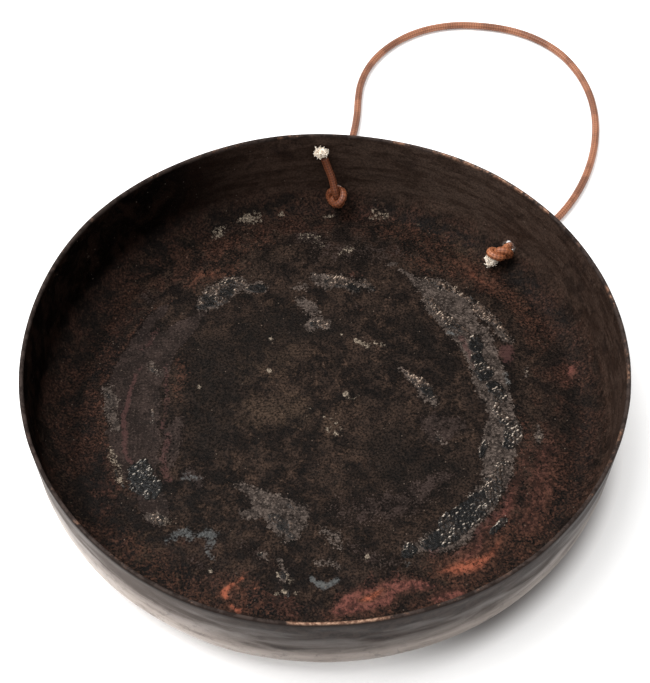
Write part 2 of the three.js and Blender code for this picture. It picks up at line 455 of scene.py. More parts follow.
PINK_VEIN = [
    (0.95, 1.2, [(-83, 22, 0.5), (-86, 12, 1.0), (-88, 0, 1.2), (-88, -14, 1.4), (-85, -26, 1.0),
                 (-82, -31, 0.5)]),
    (0.80, 1.6, [(-71, 22, 0.6), (-70, 8, 0.9), (-71, -10, 0.8)]),
    (0.80, 1.6, [(-69, -14, 1.0), (-69, -26, 1.4), (-67, -38, 1.2)]),
    (0.80, 3.0, [(81, 33), (87, 32), (87, 26), (83, 22), (80, 26)]),
    (0.66, 2.0, [(79, -38, 0.6), (75, -50, 1.2), (68, -59, 1.4), (60, -68, 1.2), (52, -75, 0.8)]),
    (0.80, 1.5, [(62, 36, 1.5), (66, 28, 1.2), (68, 18, 1.0)]),
    (0.70, 2.5, [(44, -72, 3)]),
    (0.70, 2.5, [(-76, 44, 1.0), (-84, 32, 1.5)]),
]
DARK_STREAKS_AND_SHADE = [
    (0.9, 1.5, [(-60, 62, 0.8), (-70, 51, 1.6), (-79, 38, 1.2)]),
    (0.8, 5.0, [(-50, 30, 10), (-52, 0, 8), (-50, -20, 8), (-30, 40, 12), (4, 44, 8)]),
    (0.7, 6.0, [(58, -34, 8), (34, -36, 12), (28, -20, 10)]),
    (0.7, 4.0, [(40, 48, 5), (46, 36, 5), (56, 24, 4)]),
    (0.8, 2.0, [(71, 50, 2), (66, 47, 1.5)]),
    (0.9, 3.0, [(-20, -90, 7), (-28, -96, 6), (-14, -99, 6)]),
    # Painted shade along the left edge of the floor, under the shaded wall.
    (1.0, 5.0, [(-93, 53, 5), (-104, 26, 6), (-107, 0, 6), (-104, -26, 6), (-94, -51, 5), (-78, -74, 4)]),
    (0.7, 6.0, [(104, 30, 4), (109, 4, 5), (107, -22, 6), (98, -50, 5)]),
]
COPPER_RED = [
    (0.95, 3.5, [(-1, -101), (6, -91), (20, -86), (28, -84), (36, -85), (40, -89), (30, -93),
                 (27, -98), (20, -101), (4, -104)]),
    (0.90, 5.0, [(87, -8), (90, -24), (80, -55), (68, -68), (66, -76), (58, -83), (50, -79), (52, -74),
                 (58, -70), (77, -43), (86, -20)]),
    (0.95, 1.6, [(30, -88, 2), (37, -88, 2.5), (43, -90, 1.5)]),
    (0.95, 1.2, [(18, -88, 1.2), (19, -82, 0.5)]),
    (0.95, 1.2, [(28, -86, 1.2), (31, -79, 0.6)]),
    (0.95, 4, [(45, -95, 4), (53, -92, 4)]),
    (0.70, 6, [(94, -26, 8), (92, -44, 9), (84, -62, 8)]),
    (0.62, 6, [(-92, -42, 6), (-88, -34, 4)]),
    (0.82, 3, [(112, 18, 4), (108, 10, 2)]),
    (0.56, 5, [(-44, -86, 5), (-14, -100, 6)]),
    (0.52, 7, [(-86, -36, 8), (-94, -20, 5)]),
    (0.58, 4, [(8, 70, 4), (14, 74, 3)]),
    (0.60, 3, [(12, 110, 2), (22, 112, 2.5), (34, 110, 2)]),
]
ORANGE_RUST = [
    (1.0, 2.4, [(-34, -83, 1.2), (-35, -86, 2.0)]),
    (1.0, 2.4, [(-38, -88, 2.2), (-41, -91, 2.8), (-40, -94, 2.4)]),
    (1.0, 2.4, [(-38, -97, 2.0), (-35, -100, 2.2)]),
    (0.82, 2.5, [(-29, -88, 2.0), (-26, -92, 1.5)]),
    (0.88, 3.0, [(-37, -87, 2.6), (-34, -92, 2.2), (-32, -98, 2.2)]),
    (0.88, 2.0, [(-29, -98, 1.6), (-26, -96, 1.2)]),
    (0.62, 7, [(44, 84, 5), (56, 78, 5)]),
    (0.60, 6, [(-50, 78, 5), (-42, 80, 4)]),
    (0.92, 3.0, [(14, -95, 2.5), (18, -93, 3.6), (23, -90, 2.0)]),
    (0.90, 6.5, [(46, -83, 5), (57, -80, 7.5), (66, -76, 6), (75, -64, 4)]),
    (0.85, 0.8, [(86, -4, 0.4), (88, -14, 0.7), (86, -28, 0.6)]),
    (0.85, 0.8, [(-71, 60, 0.5), (-82, 51, 0.6), (-89, 40, 0.7), (-96, 24, 0.7), (-98, 2, 0.8),
                 (-96, -13, 0.7), (-93, -26, 0.5)]),
    (0.72, 3, [(-62, 69, 3), (-58, 75, 4), (-52, 75, 4), (-44, 76, 2)]),
    (0.66, 3, [(-66, 26, 1.5), (-64, 16, 2), (-66, 6, 1.5)]),
    (0.54, 6, [(-84, -68, 6), (-74, -78, 6), (-62, -86, 5), (-48, -94, 5)]),
    (0.46, 8, [(-98, 34, 5), (-101, 10, 4), (-98, -18, 5)]),
    (0.68, 5, [(64, 82, 6), (78, 70, 5), (98, 46, 4)]),
    (0.74, 4, [(70, 74, 5), (80, 64, 4)]),
    (0.60, 4, [(2, -104, 3), (24, -103, 3)]),
    (0.50, 7, [(100, -34, 6), (88, -62, 7), (70, -82, 5)]),
    (0.54, 7, [(34, 103, 4), (54, 94, 6)]),
    (0.54, 8, [(-52, 90, 6), (-30, 99, 6)]),
    (0.60, 3, [(52, -94, 2), (40, -99, 2)]),
    (0.70, 2, [(17, 54, 1)]),
] + spots(0.95, 1.0, [(-34, -85, 1.2), (-33, -91, 0.9), (-29, -90, 1.1), (-35, -99, 1.2), (-23, -97, 0.8),
                      (-24, -100, 0.9), (24, -100, 0.8), (-42, -97, 0.8)])
PALE_LIME = [
    (0.84, 1.8, [(-40, 109, 1.2), (-36, 110, 1.8), (-31, 111, 1.0)]),
    (0.74, 2.0, [(-50, 103, 2.0), (-52, 100, 1)]),
    (0.44, 2.5, [(-8, 99, 2.0), (-4, 98, 2.0), (0, 95, 1.0)]),
    (0.84, 1.0, [(1, 112, 0.5), (6, 112, 0.5)]),
    (0.64, 1.2, [(9, 88, 0.8), (12, 90, 1.2), (14, 91, 0.5)]),
    (0.80, 1.0, [(-70, -56, 1.2), (-67, -58, 1.5)]),
    (0.80, 0.8, [(15, 36, 0.8), (18, 34, 1.0), (20, 33, 1.0)]),
    (0.70, 1.0, [(22, 35, 0.4), (27, 32, 0.5)]),
    (0.84, 0.9, [(-20, -83, 0.9), (-17, -84, 0.8), (-14, -86, 0.7)]),
    (0.48, 2.0, [(25, 112, 1.5), (31, 111, 1.5)]),
    (0.70, 1.5, [(-93, -22, 0.8), (-90, -30, 1.2), (-87, -38, 0.8)]),
    # The arc beside the nub, and the pale spot on it at (9.2, 5.4) below, are partly pale wear and partly a
    # painted highlight on the raised nub.
    (0.86, 0.6, [(10.6, 3.3, 0.3), (12.7, 2.3, 0.5), (14.7, 4.2, 0.3)]),
] + spots(0.84, 0.7, [(-25, 19, 1.2), (-25, 37, 0.8), (-55, 10, 0.8), (9, 39, 0.6), (-19, -92, 0.9),
                      (-16, -92, 1.1), (-12, -92, 0.9), (-47, -81, 1.0), (17, -76, 0.8), (47, 105, 0.7),
                      (-20, 113, 1.2), (3, -11, 0.7), (6, -9, 0.6), (5, -14, 0.8), (-6, -1, 0.5),
                      (1, -5, 0.5), (91, 18, 0.6), (93, -19, 0.8), (9.2, 5.4, 1.5), (1, -12, 0.7),
                      (8, -12, 0.6), (4, -7, 0.5), (2, -16, 0.5)])
BLUE_OXIDE = [
    (0.74, 1.8, [(-66, -67, 1.0), (-63, -66, 1.6), (-60, -64, 1.5), (-58, -63, 1.8), (-55, -66, 1.2),
                 (-51, -65, 1.6), (-48, -65, 2.2), (-47, -68, 1.6), (-48, -72, 1.0), (-46, -76, 0.8)]),
    (0.95, 1.0, [(-6, -84, 0.7), (-4, -87, 1.3), (0, -88, 1.5), (4, -86, 0.8)]),
    (0.80, 1.2, [(66, 62, 0.8), (69, 58, 0.9), (71, 55, 0.8)]),
    (0.66, 2.0, [(50, -62, 2), (58, -56, 2)]),
    (0.80, 1.2, [(58, 40, 1.0), (60, 38, 0.8)]),
    (0.66, 1.6, [(81, 16, 0.8), (82, 8, 1.0)]),
    (0.60, 2.5, [(34, -79, 1.5)]),
    (0.66, 2.0, [(-60, -36, 1.5), (-55, -37, 1.5)]),
]
OLIVE_SMEAR = [
    (0.85, 8, [(-14, -3, 8), (-28, -4, 8)]),
    (0.70, 8, [(66, 88, 6), (78, 78, 5)]),
    (0.66, 9, [(-16, 28, 6), (-30, 18, 5)]),
    (0.66, 5, [(3, -9, 5)]),
    (0.60, 9, [(-76, -72, 8)]),
    (0.70, 3, [(-40, -65, 2), (-36, -68, 2)]),
]
STAINS = {"film": GREY_FILM, "ash": ASH, "copper": COPPER_RED, "rust": ORANGE_RUST, "pale": PALE_LIME,
          "blue": BLUE_OXIDE, "olive": OLIVE_SMEAR, "pink": PINK_VEIN, "dark": DARK_STREAKS_AND_SHADE}

# Where hands and ground have rubbed the cut edge bright, with a painted highlight at the front and right:
# (degrees round the rim, spread, how much).
RIM_WEAR_AND_HIGHLIGHT = [(-87.5, 9, 1.0), (-50, 26, 0.24), (0, 40, 0.22), (55, 22, 0.54), (110, 30, 0.24),
            (-130, 30, 0.16)]
EVEN_WEAR = 0.14


def rim_wear_and_highlight(degrees):
    total = np.full(len(degrees), EVEN_WEAR)
    for middle, spread, much in RIM_WEAR_AND_HIGHLIGHT:
        total = np.maximum(total, much * np.exp(-((degrees - middle) / spread) ** 4))
    return total


def pan_attributes(vertices, side):
    """What the pan's material needs to know at each point, as one float for each name."""
    x, y, z = vertices.T
    flat = np.stack([x, y, 0 * x], -1)
    inside = side > 0.9
    wx = x + 2.0 * layered_noise(flat, 9, 41, 4, 0.6)
    wy = y + 2.0 * layered_noise(flat, 9, 77, 4, 0.6)
    floor = inside & (z < 20)
    fields = {name: np.where(floor, patches(wx, wy, stains), 0.0) for name, stains in STAINS.items()}
    degrees = np.degrees(np.arctan2(y, x))
    fields["inside"] = np.where(inside, 1.0, 0.0)
    fields["wall"] = smoothstep(3, 16, z)
    fields["height"] = z / PAN_HEIGHT
    over_rim = smoothstep(PAN_HEIGHT - 1.6, PAN_HEIGHT - 0.9, z)
    fields["edge"] = np.where(side < 1, smoothstep(0.05, 0.45, side), over_rim)
    fields["brow"] = smoothstep(PAN_HEIGHT - 3.5, PAN_HEIGHT - 0.5, z)
    fields["ring"] = smoothstep(78, 108, np.hypot(x, y))        # round the edge of the floor
    # Painted shade on the left of the wall.
    fields["painted_side_shade"] = smoothstep(8, -100, x + 6 * smoothstep(20, 0, z))
    # Painted light on the outer wall, strongest at the front left and weak on the right.
    fields["painted_light_flank"] = smoothstep(-5, -85, x) * smoothstep(80, -10, y) + 0.12 * smoothstep(15, 85, x)
    # Painted light on the back right of the wall.
    fields["painted_wall_light"] = np.exp(-((degrees - 62) / 24) ** 2)
    # How bright the cut edge is round the rim: wear, and a painted highlight.
    fields["rub"] = rim_wear_and_highlight(degrees)
    return fields


# ---- node helpers -----------------------------------------------------------------------------


class Shader:
    """Short calls for building a material's nodes."""

    def __init__(self, name):
        self.material = bpy.data.materials.new(name)
        self.material.use_nodes = True
        self.tree = self.material.node_tree
        self.principled = self.tree.nodes["Principled BSDF"]
        self.coordinates = self.tree.nodes.new("ShaderNodeTexCoord").outputs["Object"]

    def put(self, socket, value):
        if isinstance(value, bpy.types.NodeSocket):
            self.tree.links.new(value, socket)
        elif isinstance(value, (tuple, list)) and len(value) == 3 and socket.type == "RGBA":
            socket.default_value = (*value, 1)
        else:
            socket.default_value = value

    def node(self, kind, inputs=(), **settings):
        made = self.tree.nodes.new("ShaderNode" + kind)
        for key, value in settings.items():
            setattr(made, key, value)
        for key, value in dict(inputs).items():
            self.put(made.inputs[key], value)
        return made

    def attribute(self, name):
        return self.node("Attribute", attribute_name=name).outputs["Fac"]

    def noise(self, size, detail=4.0, roughness=0.6, distortion=0.0, vector=None):
        """Noise from about 0.3 to 0.7 whose lumps are size millimetres across."""
        inputs = {"Vector": vector or self.coordinates, "Scale": 1 / (size * MM), "Detail": detail,
                  "Roughness": roughness, "Distortion": distortion}
        return self.node("TexNoise", inputs).outputs["Fac"]

    def math(self, operation, a, b=0.0, c=0.0, clamp=False):
        return self.node("Math", {0: a, 1: b, 2: c}, operation=operation, use_clamp=clamp).outputs[0]

    def times(self, a, b):
        return self.math("MULTIPLY", a, b)

    def shifted(self, value, noise, much):
        """The value, moved up and down by a noise."""
        return self.math("MULTIPLY_ADD", self.math("SUBTRACT", noise, 0.5), much, value)

    def ramp(self, value, low, high, to_low=0.0, to_high=1.0):
        inputs = {"Value": value, "From Min": low, "From Max": high, "To Min": to_low, "To Max": to_high}
        return self.node("MapRange", inputs, interpolation_type="SMOOTHSTEP").outputs[0]

    def mix(self, factor, a, b):
        made = self.node("Mix", data_type="RGBA")
        made.clamp_factor = True
        self.put(made.inputs[0], factor)
        self.put(made.inputs[6], a)
        self.put(made.inputs[7], b)
        return made.outputs[2]

    def between(self, noise, low, high, a, b):
        """Colour a where the noise is low, and b where it is high."""
        return self.mix(self.ramp(noise, low, high), a, b)

    def over(self, colour, noise, low, high, much, tint):
        """The colour with a tint laid over it, up to much, as the noise goes from low to high."""
        return self.mix(self.ramp(noise, low, high, 0, much), colour, tint)

    def scaled(self, colour, factors):
        return self.node("VectorMath", {0: colour, 1: factors}, operation="MULTIPLY").outputs[0]

    def mix_value(self, factor, a, b):
        made = self.node("Mix", data_type="FLOAT")
        for index, value in ((0, factor), (2, a), (3, b)):
            self.put(made.inputs[index], value)
        return made.outputs[0]

    def bump(self, height, depth, strength=1.0, normal=None):
        """A bump whose full height is depth millimetres."""
        inputs = {"Height": height, "Distance": depth * MM, "Strength": strength}
        if normal is not None:
            inputs["Normal"] = normal
        return self.node("Bump", inputs).outputs["Normal"]

    def finish(self, **inputs):
        for key, value in inputs.items():
            self.put(self.principled.inputs[key.replace("_", " ")], value)
        return self.material


def stain_mask(s, field, noise_value, spread=2.0, sharp=0.07):
    """The field of a stain with its edge broken up by noise: nothing shows where the field is 0."""
    pushed = s.shifted(field, noise_value, spread)
    return s.times(s.ramp(pushed, 0.5 - sharp, 0.5 + sharp), s.ramp(field, 0.02, 0.18))


def pan_noises(s):
    """The pan's noises by the size of their lumps, and one that is drawn out round the wall."""
    stretched = s.node("Mapping", {"Vector": s.coordinates, "Scale": (1, 1, 4.5)}).outputs[0]
    n = SimpleNamespace(
        broad=s.noise(34, 4, 0.55, 0.4),
        patchy=s.noise(11, 8, 0.66, 0.5),
        small=s.noise(4.5, 8, 0.72, 0.4),
        rough=s.noise(2.6, 6, 0.70),
        fine=s.noise(1.5, 5, 0.70),
        mottle=s.noise(0.95, 3, 0.62),
        dust=s.noise(0.55, 3, 0.65),
        streaks=s.noise(16, 6, 0.60, 0.3, stretched),
        clouds=s.noise(30, 5, 0.50, 0.5, stretched),
    )
    n.ragged = s.math("MULTIPLY_ADD", n.mottle, 0.45, s.times(n.rough, 0.55))
    return n


def floor_colour(s, n):
    """Near-black oxide, worn through to brown in fine flecks, and redder round the floor's edge."""
    floor = s.between(n.broad, 0.40, 0.60, (0.0125, 0.0088, 0.0076), (0.0210, 0.0148, 0.0124))
    floor = s.over(floor, n.patchy, 0.46, 0.60, 0.70, (0.038, 0.0262, 0.0214))
    floor = s.over(floor, n.patchy, 0.50, 0.42, 0.70, (0.0070, 0.0053, 0.0048))
    floor = s.over(floor, n.small, 0.52, 0.64, 0.62, (0.062, 0.042, 0.033))
    floor = s.over(floor, n.small, 0.47, 0.38, 0.70, (0.0042, 0.0032, 0.0029))
    # Dark streaks, and painted shade along the left edge of the floor.
    dark = stain_mask(s, s.attribute("dark"), n.small, 2.0, 0.3)
    floor = s.mix(s.times(dark, 0.65), floor, (0.0084, 0.0071, 0.0066))
    warm = s.shifted(s.times(s.attribute("ring"), 0.60), n.patchy, 2.6)
    rusty = s.between(n.fine, 0.44, 0.60, (0.0130, 0.0066, 0.0052), (0.060, 0.0295, 0.0222))
    return s.over(floor, warm, 0.42, 0.80, 0.65, rusty)


def wall_colour(s, n):
    """Smoother and browner than the floor, with faint marks running round it, and painted light and shade.
    """
    brown = s.between(n.streaks, 0.40, 0.60, (0.0240, 0.0135, 0.0095), (0.0440, 0.0265, 0.0195))
    brown = s.over(brown, n.small, 0.50, 0.66, 0.40, (0.066, 0.042, 0.031))
    brown = s.over(brown, n.patchy, 0.48, 0.38, 0.7, (0.0130, 0.0078, 0.0060))
    # Painted light on the back right of the wall, along its streaks.
    painted_wall_light = s.times(s.attribute("painted_wall_light"), s.ramp(n.streaks, 0.42, 0.58, 0.35, 1.0))
    brown = s.mix(painted_wall_light, brown, (0.064, 0.0420, 0.0320))
    # Near-black painted shade for the left of the wall.
    black = s.between(n.patchy, 0.44, 0.60, (0.0010, 0.0005, 0.0003), (0.0070, 0.0035, 0.0023))
    painted_shade_edge = s.shifted(s.attribute("painted_side_shade"), n.patchy, 0.9)
    return s.between(painted_shade_edge, 0.15, 0.85, brown, black)


def with_grit(s, n, colour, wall):
    """A colour broken up by fine grit, which is weaker on the wall."""
    grit = s.ramp(n.mottle, 0.34, 0.66, 0.14, 1.0)
    grit = s.mix_value(wall, grit, s.ramp(grit, 0.14, 1.0, 0.72, 1.22))
    return s.over(s.scaled(colour, grit), n.dust, 0.60, 0.70, 0.30, (0.070, 0.052, 0.043))


def with_rust(s, n, colour):
    """Red copper and orange rust: vivid where they are strong, and only a tint where they are weak."""
    field = s.attribute("copper")
    dim = s.between(n.fine, 0.42, 0.60, (0.020, 0.0100, 0.0078), (0.074, 0.036, 0.029))
    vivid = s.between(n.fine, 0.40, 0.60, (0.047, 0.0195, 0.0175), (0.150, 0.0600, 0.0520))
    copper = s.between(field, 0.62, 0.92, dim, vivid)
    copper = s.over(copper, n.small, 0.50, 0.41, 0.85, (0.016, 0.0085, 0.0070))
    mask = stain_mask(s, field, n.ragged, 3.6, 0.22)
    colour = s.mix(s.times(mask, s.ramp(field, 0.5, 0.9, 0.62, 0.85)), colour, copper)

    field = s.attribute("rust")
    dim = s.between(n.fine, 0.42, 0.60, (0.022, 0.0110, 0.0082), (0.080, 0.0392, 0.0280))
    vivid = s.between(n.fine, 0.38, 0.58, (0.075, 0.026, 0.016), (0.270, 0.088, 0.055))
    mask = stain_mask(s, field, n.ragged, 4.2, 0.20)
    strength = s.times(mask, s.ramp(field, 0.5, 0.9, 0.55, 0.88))
    return s.mix(strength, colour, s.between(field, 0.66, 0.95, dim, vivid))


def with_film(s, n, colour, film):
    """A smooth grey film, with pale flecks and dark gaps."""
    grey = s.between(n.patchy, 0.42, 0.60, (0.0135, 0.0102, 0.0098), (0.0275, 0.0206, 0.0200))
    grey = s.over(grey, n.mottle, 0.55, 0.68, 0.55, (0.074, 0.060, 0.056))
    grey = s.over(grey, n.mottle, 0.45, 0.36, 0.80, (0.0060, 0.0047, 0.0045))
    grey = s.over(grey, n.rough, 0.41, 0.35, 0.85, (0.0040, 0.0031, 0.0030))
    return s.mix(s.times(film, s.ramp(n.small, 0.40, 0.56, 0.65, 0.95)), colour, grey)


def with_ash(s, n, colour, ash):
    """Paler ash, with pits and bright specks in it."""
    grey = s.between(n.small, 0.42, 0.60, (0.0225, 0.0190, 0.0181), (0.058, 0.0496, 0.0474))
    grey = s.over(grey, n.rough, 0.46, 0.40, 0.80, (0.0085, 0.0066, 0.0059))
    grey = s.over(grey, n.rough, 0.55, 0.62, 0.40, (0.125, 0.110, 0.104))
    grey = s.over(grey, n.mottle, 0.56, 0.66, 0.60, (0.160, 0.140, 0.132))
    grey = s.over(grey, n.mottle, 0.45, 0.36, 0.85, (0.0064, 0.0055, 0.0052))
    return s.mix(s.times(ash, 0.92), colour, grey)


def with_marks(s, n, colour, pale):
    """Pink veins, blue oxide, pale lime, and a few single specks anywhere."""
    pink = stain_mask(s, s.attribute("pink"), n.ragged, 2.4, 0.20)
    colour = s.mix(s.times(pink, 0.50), colour, (0.070, 0.036, 0.037))
    blue = stain_mask(s, s.attribute("blue"), n.ragged, 2.8, 0.20)
    blue_colour = s.between(n.fine, 0.40, 0.60, (0.045, 0.053, 0.060), (0.110, 0.128, 0.142))
    colour = s.mix(s.times(blue, 0.66), colour, blue_colour)
    pale_colour = s.between(n.dust, 0.42, 0.62, (0.070, 0.061, 0.053), (0.34, 0.31, 0.265))
    colour = s.mix(s.times(pale, 0.75), colour, pale_colour)
    cells = s.node("TexVoronoi", {"Vector": s.coordinates, "Scale": 1 / (2.6 * MM)}, feature="F1")
    chance = s.node("SeparateColor", {"Color": cells.outputs["Color"]}).outputs[0]
    speck = s.times(s.ramp(cells.outputs["Distance"], 0.15, 0.06), s.ramp(chance, 0.72, 0.95))
    return s.mix(s.times(speck, 0.5), colour, (0.17, 0.14, 0.12))


def crust_colour(s):
    """Burnt crust: brown or black grains, black between them, with painted highlights and a painted glint.
    """
    relief_tone_and_painted_light, lit = s.attribute("relief_tone_and_painted_light"), s.attribute("lit")
    # Black low down, partly the burnt base and partly painted shade, and pale on the tops as a painted
    # highlight.
    crust = s.between(relief_tone_and_painted_light, 0.22, 0.66, (0.0016, 0.0013, 0.0011), (0.036, 0.0275, 0.0235))
    crust = s.over(crust, relief_tone_and_painted_light, 0.58, 0.95, 0.85, (0.112, 0.086, 0.073))
    # The painted glint on the side of each grain that faces the light.
    crust = s.mix(s.times(lit, 0.86), crust, (0.62, 0.53, 0.46))
    black = s.between(relief_tone_and_painted_light, 0.3, 0.9, (0.0007, 0.0007, 0.0007), (0.0085, 0.0082, 0.0080))
    # The same painted glint on black crust.
    black = s.mix(s.times(lit, 0.74), black, (0.62, 0.62, 0.60))
    return s.mix(s.attribute("soot"), crust, black)


def outer_colour(s, n, near_rim):
    """Dull grey metal, darker and browner under the rim; paler flanks and lower part are painted light."""
    height, painted_light_flank = s.attribute("height"), s.attribute("painted_light_flank")
    # The front stays darker and the flanks are paler, as painted light.
    front = s.between(n.clouds, 0.40, 0.60, (0.050, 0.0415, 0.0375), (0.100, 0.0870, 0.0800))
    sides = s.between(n.clouds, 0.40, 0.60, (0.165, 0.1430, 0.1310), (0.360, 0.3260, 0.3040))
    # Painted reflection of the white table low on the outer wall, brighter on the lit flank.
    painted_table_reflection = s.mix(painted_light_flank, (0.270, 0.246, 0.230), (0.530, 0.500, 0.478))
    grey_with_painted_reflection = s.between(s.shifted(height, n.clouds, 0.6), 0.66, 0.20, s.mix(painted_light_flank, front, sides), painted_table_reflection)
    grey_with_painted_reflection = s.over(grey_with_painted_reflection, n.small, 0.52, 0.66, 0.4, (0.11, 0.097, 0.090))
    darker_band_under_rim = s.between(n.small, 0.42, 0.58, (0.012, 0.0088, 0.0076), (0.031, 0.0232, 0.0202))
    darker_band_under_rim = s.mix(painted_light_flank, darker_band_under_rim, (0.072, 0.0575, 0.0505))
    outer = s.mix(near_rim, grey_with_painted_reflection, darker_band_under_rim)
    outer = s.over(outer, s.noise(8, 6, 0.66, 1.2), 0.56, 0.64, 0.40, (0.040, 0.032, 0.029))
    outer = s.mix(s.attribute("brow"), outer, (0.0150, 0.0105, 0.0090))
    return s.scaled(outer, (0.93, 0.86, 0.81))


def edge_colour(s, n, rubbed_and_highlit):
    """The cut edge, bright here and there: partly worn bright, partly a painted highlight."""
    bright = s.between(n.fine, 0.42, 0.58, (0.110, 0.056, 0.036), (0.32, 0.195, 0.132))
    bright = s.mix(s.ramp(s.attribute("rub"), 0.35, 0.9, 0.55, 0.0), bright, (0.085, 0.038, 0.022))
    plain = s.between(n.small, 0.42, 0.58, (0.017, 0.0120, 0.0102), (0.042, 0.0305, 0.0262))
    return s.mix(rubbed_and_highlit, plain, bright)


def pan_material():
    s = Shader("old_copper_alloy")
    n = pan_noises(s)
    wall, inside, edge, grain = (s.attribute(key) for key in ("wall", "inside", "edge", "grain"))
    near_rim = s.shifted(s.attribute("height"), n.clouds, 1.1)
    near_rim = s.ramp(s.shifted(near_rim, n.small, 0.25), 0.42, 0.86)
    # Where the cut edge is bright, partly worn and partly a painted highlight.
    rubbed_and_highlit = s.times(edge, s.ramp(s.shifted(s.attribute("rub"), s.noise(7, 6, 0.70), 2.4), 0.30, 0.62))
    olive = stain_mask(s, s.attribute("olive"), n.small, 2.0, 0.35)
    film_noise = s.math("MULTIPLY_ADD", n.mottle, 0.35, s.times(n.small, 0.65))
    film = stain_mask(s, s.attribute("film"), film_noise, 2.6, 0.10)
    ash = stain_mask(s, s.attribute("ash"), n.ragged, 3.0, 0.12)
    pale = stain_mask(s, s.attribute("pale"), n.ragged, 5.2, 0.24)

    colour = s.mix(wall, floor_colour(s, n), wall_colour(s, n))
    colour = s.mix(s.times(olive, 0.55), colour, (0.062, 0.0450, 0.0345))
    colour = with_grit(s, n, colour, wall)
    colour = with_rust(s, n, colour)
    colour = with_film(s, n, colour, film)
    colour = with_ash(s, n, colour, ash)
    colour = with_marks(s, n, colour, pale)
    colour = s.mix(grain, colour, crust_colour(s))
    colour = s.mix(wall, s.scaled(colour, (1.10, 0.98, 0.86)), colour)
    colour = s.mix(inside, outer_colour(s, n, near_rim), colour)
    colour = s.mix(edge, colour, edge_colour(s, n, rubbed_and_highlit))

    bare = s.times(s.math("SUBTRACT", 1.0, inside), s.ramp(near_rim, 0, 1, 0.75, 0.05))
    bare = s.times(bare, s.ramp(s.attribute("brow"), 0, 1, 1, 0.1))
    metal = s.math("MAXIMUM", bare, s.times(rubbed_and_highlit, 0.6), clamp=True)
    rough_in = s.ramp(n.small, 0.40, 0.60, 0.50, 0.70)
    rough_in = s.mix_value(grain, rough_in, s.ramp(n.fine, 0.42, 0.58, 0.18, 0.40))
    roughness = s.mix_value(inside, s.ramp(n.clouds, 0.38, 0.62, 0.38, 0.52), rough_in)
    # Less specular under the painted shade on the left.
    dull = s.mix_value(wall, 0.045, s.mix_value(s.attribute("painted_side_shade"), 0.09, 0.02))
    specular = s.mix_value(inside, s.ramp(near_rim, 0, 1, 0.22, 0.06), s.mix_value(grain, dull, 0.12))
    specular = s.mix_value(edge, specular, s.mix_value(rubbed_and_highlit, 0.03, 0.20))

    relief = s.math("ADD", s.times(s.ramp(n.small, 0.36, 0.62), 0.4), s.times(film, 0.5))
    relief = s.math("ADD", relief, s.times(s.math("MAXIMUM", pale, ash), 0.6))
    normal = s.bump(relief, 0.22, s.mix_value(inside, 0.15, 0.9))
    normal = s.bump(n.fine, 0.14, s.mix_value(inside, 0.15, 0.9), normal)
    normal = s.bump(n.dust, 0.08, s.mix_value(grain, 0.1, 0.6), normal)
    return s.finish(Base_Color=colour, Metallic=metal, Roughness=roughness, Normal=normal,
                    Specular_IOR_Level=specular)


HOLE_SIDES = 48
HOLE_CUT = 10       # length of the cutter that goes through the wall


def make_pan():
    vertices, faces, side = build_pan()
    pan = make_mesh("pan_body", vertices, faces, pan_attributes(vertices, side))
    cutters = []
    for hole in (left_hole, right_hole):
        bpy.ops.mesh.primitive_cylinder_add(vertices=HOLE_SIDES, radius=HOLE / 2 * MM, depth=HOLE_CUT * MM)
        cutter = bpy.context.object
        axis = Vector(hole(1) - hole(0))
        cutter.matrix_world = (Matrix.Translation(Vector(hole(-SHEET / 2)) * MM)
                               @ axis.to_track_quat("Z", "Y").to_matrix().to_4x4())
        cutters.append(cutter)
    bpy.context.view_layer.update()
    for cutter in cutters:
        cut = pan.modifiers.new("hole", "BOOLEAN")
        cut.operation = "DIFFERENCE"
        cut.solver = "EXACT"
        cut.object = cutter
        bpy.context.view_layer.objects.active = pan
        bpy.ops.object.modifier_apply(modifier=cut.name)
        bpy.data.objects.remove(cutter)
    material = pan_material()
    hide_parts("pan_shell")
    dress(pan, material)
    return material


# ---- residue burnt onto the floor ------------------------------------------------------------------


CRUST_GRID = 0.34                           # spacing of the points in a crust
CRUST_TOP, CRUST_UNDERSIDE = 0.13, 0.55     # how far they lie under the floor, where no grain stands


def plate_faces(keep):
    """Quads of a closed plate over the kept points of a grid: its top, its underside, and its rim.
    The underside's points are numbered after all of the grid's."""
    cell = keep[:-1, :-1] & keep[1:, :-1] & keep[:-1, 1:] & keep[1:, 1:]
    index = np.arange(keep.size).reshape(keep.shape)
    corner = {"a": index[:-1, :-1], "b": index[1:, :-1], "c": index[1:, 1:], "d": index[:-1, 1:]}
    a, b, c, d = (corner[key][cell] for key in "abcd")
    under = keep.size
    quads = [np.stack([a, b, c, d], -1), np.stack([a, d, c, b], -1) + under]
    padded = np.pad(cell, 1)
    for di, dj, first, second in ((-1, 0, "d", "a"), (1, 0, "b", "c"), (0, -1, "a", "b"), (0, 1, "c", "d")):
        painted_shadow = padded[1 + di:padded.shape[0] - 1 + di, 1 + dj:padded.shape[1] - 1 + dj]
        rim = cell & ~painted_shadow
        u, v = corner[first][rim], corner[second][rim]
        quads.append(np.stack([v, u, u + under, v + under], -1))
    return np.concatenate(quads)


